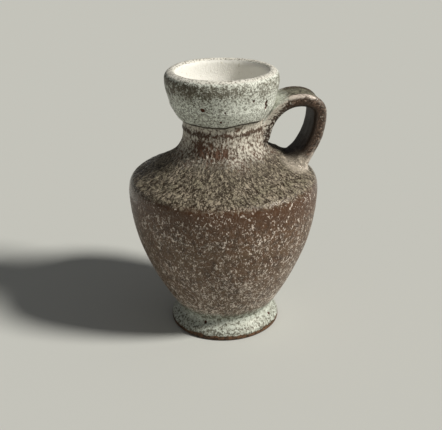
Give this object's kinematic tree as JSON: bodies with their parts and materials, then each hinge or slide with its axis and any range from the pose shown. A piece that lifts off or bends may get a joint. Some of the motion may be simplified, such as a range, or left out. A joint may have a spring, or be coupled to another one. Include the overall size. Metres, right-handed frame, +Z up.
{
  "type": "juglet",
  "caption": "Small stoneware juglet with a cup-shaped collar mouth, narrow neck, sloping shoulder, ovoid belly, spreading foot and a strap handle.",
  "frame": {"origin": "centre of the foot ring's standing plane, on the axis that the pot was turned about", "axes": "+Z up along the axis from the foot to the mouth, +X from the axis towards the handle"},
  "size_m": [0.0911, 0.0886, 0.125],
  "materials": {
    "glazed_stoneware": "satin brown and grey-green stoneware glaze, granular on the shoulder"
  },
  "bodies": {
    "root": {"juglet": "glazed_stoneware"}
  },
  "joints": []
}
